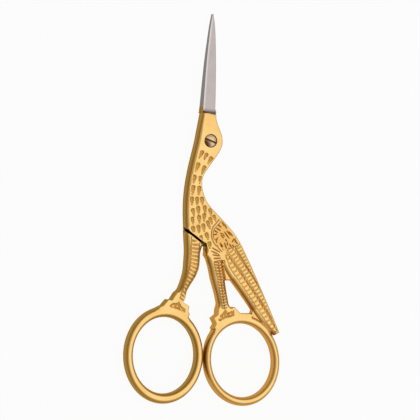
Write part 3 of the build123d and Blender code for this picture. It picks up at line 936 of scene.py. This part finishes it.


# Gold-plated steel: buffed bright on the faces, with painted reflections and shade on the roundings and
# sides, browner and then dull olive as they turn upright, painted shade down in the struck marks and in the
# seam, and painted light on the front half's lower sides. It gives the eye a warm, slightly uneven mirror
# with fine buffing lines.
def goldMaterial():
    gold = {
        "buffed": "#FDD488", "warm": "#F4BF6A", "seamShade": "#1C0F02", "grazing": "#EED3A0",
        "sides": [(0.0, "#9C7A40"), (0.2, "#B39658"), (0.42, "#A27A36"), (0.72, "#C6862F"),
                  (0.93, "#F3BD6A")],            # painted reflection and shade, from an upright side to a level face
        "struckShade": [(0.0, "#FACD7E"), (0.3, "#EDB463"), (0.65, "#C98F3E"), (1.0, "#744816")],   # painted shade in the marks, by depth
        "struckShadeFull": 0.3,                       # from this depth on, only the painted shade shows
        # painted light on the front half's lower sides
        "paintedLight": "#F2B25E", "paintedLightShare": 0.5,
        "patch": 6.0, "patchFrom": 0.4, "patchFull": 0.7, "patchShare": 0.6,
        "grain": 0.25, "ragged": 0.1,            # mm, and how far the grain shifts the edge of the painted side shade
        "buffLine": 0.12, "buffSquash": 0.05, "buffTurn": 0.35,   # mm; coarser than real, to show
        "fineDetail": 3.0, "softDetail": 2.0,
        "faceRoughness": 0.12, "sideRoughness": 0.36, "sideTo": 0.4, "faceFrom": 0.9, "lineRoughness": 0.12,
        "lineBump": (0.05, 0.02), "grainBump": (0.08, 0.03),      # strength, and height in mm
    }
    material, tree, place = newMetal("Gold-plated steel")
    patches = addNode(tree, "ShaderNodeTexNoise", {
        "Vector": place["Object"], "Scale": 1 / mm / gold["patch"], "Detail": gold["softDetail"]})
    grain = addNode(tree, "ShaderNodeTexNoise", {
        "Vector": place["Object"], "Scale": 1 / mm / gold["grain"], "Detail": gold["fineDetail"]})
    stretched = addNode(tree, "ShaderNodeMapping", {
        "Vector": place["Object"], "Scale": (1.0, gold["buffSquash"], 1.0),
        "Rotation": (0, 0, gold["buffTurn"])})
    buffing = addNode(tree, "ShaderNodeTexNoise", {
        "Vector": stretched, "Scale": 1 / mm / gold["buffLine"], "Detail": gold["softDetail"]})
    normal = addNode(tree, "ShaderNodeSeparateXYZ", {0: place["Normal"]}).outputs["Z"]
    upright = addNode(tree, "ShaderNodeMath", {0: normal}, operation="ABSOLUTE")
    wobble = addNode(tree, "ShaderNodeMath", {0: grain, 1: gold["ragged"], 2: -gold["ragged"] / 2},
                     operation="MULTIPLY_ADD")
    faceness = addNode(tree, "ShaderNodeMath", {0: upright, 1: wobble}, operation="ADD")
    sides = addNode(tree, "ShaderNodeValToRGB", {"Fac": faceness})
    setStops(sides, gold["sides"])
    paintedLight, recess, gap = [addNode(tree, "ShaderNodeAttribute", attribute_name=label).outputs["Fac"]
                           for label in ("paintedLight", "recess", "gap")]
    paintedLightMix = addNode(tree, "ShaderNodeMath", {0: paintedLight, 1: gold["paintedLightShare"]}, operation="MULTIPLY")
    patchy = addNode(tree, "ShaderNodeMapRange", {
        "Value": patches, "From Min": gold["patchFrom"], "From Max": gold["patchFull"],
        "To Max": gold["patchShare"]})
    face = layered(tree, linear(gold["buffed"]), [(patchy, linear(gold["warm"]))])
    flatness = addNode(tree, "ShaderNodeMapRange", {
        "Value": faceness, "From Min": gold["sides"][-2][0], "From Max": gold["sides"][-1][0]},
        interpolation_type="SMOOTHSTEP")
    depth = addNode(tree, "ShaderNodeMapRange", {"Value": recess, "From Max": gold["struckShadeFull"]})
    markShade = addNode(tree, "ShaderNodeValToRGB", {"Fac": recess})
    setStops(markShade, gold["struckShade"])
    # Over the painted side reflections and shade go painted light, the buffed face, painted shade in the
    # marks and painted shade in the seam
    colour = layered(tree, sides, [(paintedLightMix, linear(gold["paintedLight"])), (flatness, face), (depth, markShade),
                                   (gap, linear(gold["seamShade"]))])
    rough = addNode(tree, "ShaderNodeMapRange", {
        "Value": faceness, "From Min": gold["sideTo"], "From Max": gold["faceFrom"],
        "To Min": gold["sideRoughness"], "To Max": gold["faceRoughness"]})
    uneven = addNode(tree, "ShaderNodeMath", {0: buffing, 1: gold["lineRoughness"], 2: rough},
                     operation="MULTIPLY_ADD")
    bump = None
    for height, (strength, deep) in ((buffing, gold["lineBump"]), (grain, gold["grainBump"])):
        below = {} if bump is None else {"Normal": bump}
        bump = addNode(tree, "ShaderNodeBump", {
            "Height": height, "Strength": strength, "Distance": deep * mm, **below})
    setInputs(tree, tree.nodes["Principled BSDF"], {
        "Specular Tint": linear(gold["grazing"]), "Base Color": colour, "Roughness": uneven, "Normal": bump})
    return material


# Bare carbon steel, ground lengthwise and then wiped: a cool, faintly pink grey with fine lines along it.
# A blade gets painted shade on its sides and root and a painted highlight along its spine; a screw has
# painted shade in its slot and an uneven dark patch of painted shade round one place.
def steelMaterial(name, look):
    steel = {"line": 0.15, "squash": 0.04,   # mm; the grinding lines are drawn coarser than real, to show
             # side is painted shade on a blade's upright sides, and bright a painted highlight along its
             # spine
             "patch": 4.0, "side": "#6F6D67", "bright": "#EFE7E5", "fineDetail": 3.0, "softDetail": 2.0,
             "sideTo": 0.4, "faceFrom": 0.85, "ragged": 0.8, "shadePatchFull": 0.4,
             "lineRoughness": 0.15, "lineBump": (0.12, 0.02)}
    material, tree, place = newMetal(name)
    stretched = addNode(tree, "ShaderNodeMapping", {
        "Vector": place["Object"], "Scale": (1.0, steel["squash"], 1.0)})
    lines = addNode(tree, "ShaderNodeTexNoise", {
        "Vector": stretched, "Scale": 1 / steel["line"] / mm, "Detail": steel["fineDetail"]})
    patches = addNode(tree, "ShaderNodeTexNoise", {
        "Vector": place["Object"], "Scale": 1 / steel["patch"] / mm, "Detail": steel["softDetail"]})
    recess, bright = [addNode(tree, "ShaderNodeAttribute", attribute_name=label).outputs["Fac"]
                      for label in ("recess", "bright")]
    colour = layered(tree, linear(look["ground"][0]), [
        (patches, linear(look["ground"][1])), (recess, linear(look["dark"])),
        (bright, linear(steel["bright"]))])
    if look["shadePatch"] is None:
        # painted shade on a blade's upright sides
        normal = addNode(tree, "ShaderNodeSeparateXYZ", {0: place["Normal"]}).outputs["Z"]
        upright = addNode(tree, "ShaderNodeMath", {0: normal}, operation="ABSOLUTE")
        flatness = addNode(tree, "ShaderNodeMapRange", {
            "Value": upright, "From Min": steel["sideTo"], "From Max": steel["faceFrom"]})
        colour = layered(tree, linear(steel["side"]), [(flatness, colour)])
    else:
        # Painted shade: an uneven dark patch round one place of the screw's head
        at, reach, strength = look["shadePatch"]
        spread = addNode(tree, "ShaderNodeVectorMath", {0: place["Object"], 1: [c * mm for c in at]},
                         operation="DISTANCE")
        ragged = addNode(tree, "ShaderNodeMath", {
            0: patches, 1: steel["ragged"] * mm, 2: spread.outputs["Value"]}, operation="MULTIPLY_ADD")
        shadePatch = addNode(tree, "ShaderNodeMapRange", {
            "Value": ragged, "From Min": reach * mm, "From Max": steel["shadePatchFull"] * reach * mm,
            "To Max": strength}, interpolation_type="SMOOTHSTEP")
        colour = layered(tree, colour, [(shadePatch, linear(look["dark"]))])
    uneven = addNode(tree, "ShaderNodeMath", {0: lines, 1: steel["lineRoughness"], 2: look["roughness"]},
                     operation="MULTIPLY_ADD")
    strength, deep = steel["lineBump"]
    bump = addNode(tree, "ShaderNodeBump", {"Height": lines, "Strength": strength, "Distance": deep * mm})
    setInputs(tree, tree.nodes["Principled BSDF"], {
        "Base Color": colour, "Roughness": uneven, "Normal": bump})
    return material


goldFinish = goldMaterial()
# dark is the painted shade at the blade's root
bladeFinish = steelMaterial("Ground bare steel", {
    "ground": ("#CBC0BE", "#BDB2B0"), "dark": "#6A6158", "roughness": 0.24, "shadePatch": None})
screwFinish = steelMaterial("Turned steel screw", {
    "ground": ("#F3D6B4", "#E3BE92"), "dark": "#5A3414", "roughness": 0.18,
    "shadePatch": ((-1.7, -1.0, 4.0), 2.8, 0.95)})   # place, reach and strength of the painted shade patch


def addPiece(name, mesh, finish, body, node):
    mesh.materials.append(finish)
    piece = addObject(name, mesh)
    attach(piece, body)
    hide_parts(node)


def addLayer(name, body, side, dies, top=None):
    marks = [Vector((v.co.x, v.co.y)) / mm for die in dies for v in die.data.vertices]
    piece = addObject(name, layerMesh(name, halves[body], side, marks, top))
    for die in dies:
        piece.data = runTree(piece, strike, {
            "Die": die, "Side": float(side), "Darkest": plate["darkest"] * mm, "Finish": goldFinish})
    for polygon in piece.data.polygons:
        polygon.use_smooth = True
    piece.data.set_sharp_from_angle(angle=math.radians(plate["sharpAngle"]))
    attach(piece, body)
    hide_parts(halves[body]["node"])


addLayer("frontUpperPlating", "front", 1, [frontMarks, frontLines], stepLine)
addLayer("frontLowerPlating", "front", -1, [frontMarks, frontLines])
addLayer("backUpperPlating", "back", 1, [backMarks])
addLayer("backLowerPlating", "back", -1, [backMarks], stepLine)
for helper in helpers:
    bpy.data.objects.remove(helper)
print("gold plates done")

# The blades: each starts at the slope from its plating down to the steel, and thins towards the tip
blade = {
    "rootThick": 1.65, "tipThick": 0.45, "slope": 0.16, "tip": 37.2, "tipGap": 0.04, "station": 0.9,
    "spineBevel": 0.16, "edgeBevel": 0.3,
    "bevelWide": 0.84, "bevelHigh": 0.6,         # the most of a thin blade that its bevels take up
    "rootCut": 0.02,                             # its sides are read this far from the parting plane
    "slantTries": 4,                             # tries that bring a side onto a slanted line
    # rootDark: painted shade on the root's slope from the plating down to the steel
    "rootRise": 1.2, "rootInset": 0.9, "rootRight": 0.3, "rootLean": 0.2, "rootGap": 0.1, "rootDark": 0.7,
    "brightTo": 0.6, "brightShare": 0.4,         # the spine's painted highlight band
}
skin = {   # the plating runs on up the blade's left side, to a slanted end
    "from": 8.16, "to": 10.4, "steps": 8, "thick": 0.07, "endShare": 0.1, "endLean": 0.25,
    "proud": 0.02, "over": 0.04, "sunk": 0.05, "under": 0.1,
}
rootLoops = {side: max(cutOutlines(half["node"], half["parting"] + side * blade["rootCut"]),
                       key=lambda points: max(p.y for p in points))
             for half, side in ((halves["front"], 1), (halves["back"], -1))}


# The left and right side of a half at one place along it, near the parting plane
def sidesOf(side, y):
    loop = rootLoops[side]
    found = []
    for i, here in enumerate(loop):
        before = loop[i - 1]
        if (here.y > y) != (before.y > y):
            found.append(before.x + (y - before.y) * (here.x - before.x) / (here.y - before.y))
    return min(found), max(found)


# The same on a slanted line across the half: 0 gives its left side and 1 its right
def slantedSide(side, y, slant, which):
    x = 0.0
    for _ in range(blade["slantTries"]):
        x = sidesOf(side, y - slant * x)[which]
    return x


def bladeLevel(half, side, y):
    share = (y - rootLine["at"]) / (blade["tip"] - rootLine["at"])
    return half["parting"] + side * (blade["rootThick"] + share * (blade["tipThick"] - blade["rootThick"]))


def sideMesh(name, half, side):
    form = bmesh.new()
    parting, bevel, steps = half["parting"], blade["spineBevel"], skin["steps"]
    rings = []
    for k in range(steps + 1):
        y = skin["from"] + (skin["to"] - skin["from"]) * k / steps
        left = max(sidesOf(side, y)[0], shoulder["to"][0])
        top = bladeLevel(half, side, y)
        out = left - skin["thick"] * (1.0 if k < steps else skin["endShare"])
        section = [(out, parting), (out, top - side * bevel), (left + bevel, top + side * skin["proud"]),
                   (left + bevel + skin["over"], top - side * skin["sunk"]),
                   (left + skin["sunk"], top - side * (bevel + skin["under"])),
                   (left + skin["sunk"], parting)]
        ring = []
        for x, z in section:
            back = skin["endLean"] * abs(z - parting) * k / steps
            ring.append(form.verts.new((x * mm, (y - back) * mm, z * mm)))
        rings.append(ring)
    return ringMesh(name, form, rings)


def bladeMesh(name, half, side):
    parting = half["parting"]
    form = bmesh.new()
    recess, bright = [form.verts.layers.float.new(label) for label in ("recess", "bright")]
    length = blade["tip"] - rootLine["at"] - blade["tipGap"]
    count = round(length / blade["station"])
    rings = []
    for k in range(-1, count + 1):
        share = max(k, 0) / count
        y = stepLine["at"] if k < 0 else rootLine["at"] + length * share + blade["slope"] * (1 - share)
        slant = stepLine["slant"] if k < 0 else rootLine["slant"] * (1 - share)
        left, right = [slantedSide(side, y, slant, which) for which in (0, 1)]
        if k < 0:  # inside the plating's own rounded edges
            top, rise = (thickness if side > 0 else 0.0), parting + side * blade["rootRise"]
            inset, lean, gap = blade["rootInset"], blade["rootLean"], blade["rootGap"]
            section = [(left + gap, parting, 0.0), (left + lean, rise, 0.0), (left + inset, top, 0.0),
                       (left + inset + lean, top, 0.0), (right - blade["rootRight"], top, 0.0),
                       (right - gap, rise, 0.0), (right - gap, parting, 0.0)]
        else:
            top = bladeLevel(half, side, y)
            fit = min(1.0, blade["bevelWide"] * (right - left) / (blade["spineBevel"] + blade["edgeBevel"]),
                      blade["bevelHigh"] * abs(top - parting) / blade["spineBevel"])
            spine, edge = blade["spineBevel"] * fit, blade["edgeBevel"] * fit
            shine = min(blade["brightTo"], blade["brightShare"] * (right - left))
            section = [(left, parting, 0.0), (left, top - side * spine, 0.0), (left + spine, top, 1.0),
                       (left + spine + shine, top, 0.0), (right - edge, top, 0.0),
                       (right, top - side * edge, 0.0), (right, parting, 0.0)]
        ring = []
        for x, z, lit in section:
            vertex = form.verts.new((x * mm, (y - slant * x) * mm, z * mm))
            # painted shade on the root, and a painted highlight along the spine
            vertex[recess] = blade["rootDark"] if k <= 0 and z != parting else 0.0
            vertex[bright] = lit if k > 0 else 0.0
            ring.append(vertex)
        rings.append(ring)
    return ringMesh(name, form, rings)


addPiece("frontBlade", bladeMesh("frontBlade", halves["front"], 1), bladeFinish, "front",
         "front_half")
addPiece("backBlade", bladeMesh("backBlade", halves["back"], -1), bladeFinish, "back",
         "back_half")
addPiece("frontSidePlating", sideMesh("frontSidePlating", halves["front"], 1), goldFinish, "front",
         "front_half")
addPiece("backSidePlating", sideMesh("backSidePlating", halves["back"], -1), goldFinish, "back",
         "back_half")
print("blades done")

# The pivot screw: a low domed head with one driver slot, set in its recess
screw = {
    "radius": 1.85, "crown": 0.34, "edge": 0.07, "bottom": 3.35, "sides": 96, "strips": 12, "stripEnd": 0.02,
    "slotWidth": 0.5, "slotDepth": 0.42, "slotLeast": 0.02, "slotTurn": -22.0, "lipDark": 0.6,
    "shank": 1.3, "thread": 1.09, "threadTop": 1.95, "end": 0.05, "chamfer": 0.12,
    "weld": 0.004, "sharpAngle": 30.0,
}


def screwMesh(name):
    form = bmesh.new()
    recess = form.verts.layers.float.new("recess")
    turn = math.radians(screw["slotTurn"])
    halfSlot = screw["slotWidth"] / 2
    rim = screw["radius"] - screw["edge"]
    sphere = (rim ** 2 + screw["crown"] ** 2) / (2 * screw["crown"])
    rimTop = cadBounds[1][2] / mm - screw["crown"]
    widest = rim * math.sin(math.acos(screw["stripEnd"]))

    def domeAt(distance):
        return rimTop + screw["crown"] - sphere + math.sqrt(sphere ** 2 - distance ** 2)

    # Half of the head on one side of the slot: strips along it, from the slot's lip to the rim
    def headStrips(sign):
        strips = []
        columns = screw["sides"] // 2
        for j in range(screw["strips"] + 1):
            across = min(halfSlot + (rim - halfSlot) * j / screw["strips"], widest)
            reach = math.sqrt(rim ** 2 - across ** 2)
            strip = []
            for i in range(columns + 1):
                along = -reach * math.cos(math.pi * i / columns)
                strip.append((along, sign * across, domeAt(math.hypot(along, across))))
            strips.append(strip)
        return strips

    def put(point, dark):
        x, y, z = point
        turned = Vector((x * math.cos(turn) - y * math.sin(turn), x * math.sin(turn) + y * math.cos(turn), z))
        vertex = form.verts.new(turned * mm)
        vertex[recess] = dark
        return vertex

    def join(low, high):
        for corners in quads(low, high):
            form.faces.new(corners)

    slotFloor = rimTop + screw["crown"] - screw["slotDepth"]
    head = [headStrips(sign) for sign in (-1, 1)]
    for strips in head:
        rows = [[put(p, 0.0) for p in strip] for strip in strips]
        for low, high in zip(rows, rows[1:]):
            join(low, high)
    floors = []
    for strips in head:
        # painted shade down the slot's walls and on its floor
        lip = [put(p, screw["lipDark"]) for p in strips[0]]
        floors.append([put((x, y, min(slotFloor, z - screw["slotLeast"])), 1.0) for x, y, z in strips[0]])
        join(lip, floors[-1])
    join(*floors)
    rounds = []
    for radius, z, dark in (   # down the screw's side, and how much painted shade each ring gets
            (rim, domeAt(rim), 0.1), (screw["radius"], rimTop - screw["edge"], 0.5),
            (screw["radius"], screw["bottom"], 1.0), (screw["shank"], screw["bottom"], 0.5),
            (screw["shank"], screw["threadTop"], 0.5), (screw["thread"], screw["threadTop"], 0.5),
            (screw["thread"], screw["end"] + screw["chamfer"], 0.4),
            (screw["thread"] - screw["chamfer"], screw["end"], 0.1)):
        angles = [2 * math.pi * i / screw["sides"] for i in range(screw["sides"])]
        rounds.append([put((radius * math.cos(a), radius * math.sin(a), z), dark) for a in angles])
    for low, high in zip(rounds, rounds[1:]):
        join(low + low[:1], high + high[:1])
    form.faces.new(rounds[-1])
    bmesh.ops.remove_doubles(form, verts=form.verts, dist=screw["weld"] * mm)
    made = plainMesh(name, form)
    for polygon in made.polygons:
        polygon.use_smooth = True
    made.set_sharp_from_angle(angle=math.radians(screw["sharpAngle"]))
    return made


addPiece("pivotScrewHead", screwMesh("pivotScrewHead"), screwFinish, "back", "pivot_screw")
print("screw done")

# The camera stands 20 degrees to the left of straight above, as in the photograph
view = {"lean": 20.0, "aim": (0.457, -20.21, 2.0), "distance": 900.0, "height": 123.0, "sensor": 36.0}
lens = bpy.data.cameras.new("Camera")
lens.sensor_width = view["sensor"]
lens.lens = lens.sensor_width * view["distance"] / view["height"]
camera = addObject("Camera", lens)
lean = math.radians(view["lean"])
camera.location = (Vector(view["aim"]) + Vector((-math.sin(lean), 0, math.cos(lean))) * view["distance"]) * mm
camera.rotation_euler = (0, -lean, 0)
bpy.context.scene.camera = camera

# Floor, world and lamp; the studio's own lengths are in metres
studio = {
    "floor": "#F7F6F4", "floorRoughness": 0.9, "glow": 0.94, "floorSize": 3.0, "floorGap": 0.05 * mm,
    "overhead": 0.5, "horizon": 0.4, "horizonTo": 0.1, "overheadFrom": 0.85,
    "softbox": 0.62, "softboxHeight": 0.55, "softboxAside": 0.2, "softboxBack": -0.02, "softboxLevel": 0.52,
}
floorMesh = bpy.data.meshes.new("Floor")
reach = studio["floorSize"] / 2
floorMesh.from_pydata([(-reach, -reach, 0), (reach, -reach, 0), (reach, reach, 0), (-reach, reach, 0)], [],
                      [(0, 1, 2, 3)])
floor = addObject("Floor", floorMesh)
floor.location.z = -studio["floorGap"]
floorFinish = bpy.data.materials.new("Pale matt floor")
floorFinish.use_nodes = True
tree = floorFinish.node_tree
matt = tree.nodes["Principled BSDF"]
setInputs(tree, matt, {"Base Color": linear(studio["floor"]), "Roughness": studio["floorRoughness"]})
rays = addNode(tree, "ShaderNodeLightPath").outputs
seen = rays["Is Camera Ray"]
for kind in ("Is Glossy Ray", "Is Transmission Ray"):
    seen = addNode(tree, "ShaderNodeMath", {0: seen, 1: rays[kind]}, operation="MAXIMUM")
share = addNode(tree, "ShaderNodeMath", {0: seen, 1: studio["glow"]}, operation="MULTIPLY")
white = addNode(tree, "ShaderNodeEmission", {"Color": (1, 1, 1, 1), "Strength": 1.0})
mixed = addNode(tree, "ShaderNodeMixShader", {"Fac": share, 1: matt, 2: white})
setInputs(tree, tree.nodes["Material Output"], {"Surface": mixed})
floorMesh.materials.append(floorFinish)

softbox = bpy.data.lights.new("Softbox", "AREA")
softbox.size = studio["softbox"]
softbox.energy = studio["softboxLevel"] * math.pi * studio["softbox"] ** 2
lamp = addObject("Softbox", softbox)
lamp.location = (studio["softboxAside"], studio["softboxBack"], studio["softboxHeight"])
lamp.rotation_euler = (0, math.atan2(studio["softboxAside"], studio["softboxHeight"]), 0)

world = bpy.data.worlds.new("Studio")
world.use_nodes = True
bpy.context.scene.world = world
tree = world.node_tree
sky = addNode(tree, "ShaderNodeSeparateXYZ", {0: addNode(tree, "ShaderNodeTexCoord").outputs["Generated"]})
level = addNode(tree, "ShaderNodeMapRange", {
    "Value": sky.outputs["Z"], "From Min": studio["horizonTo"], "From Max": studio["overheadFrom"],
    "To Min": studio["horizon"], "To Max": studio["overhead"]}, interpolation_type="SMOOTHSTEP")
setInputs(tree, tree.nodes["Background"], {"Color": (1, 1, 1, 1), "Strength": level})
bpy.context.scene.view_settings.view_transform = "Standard"
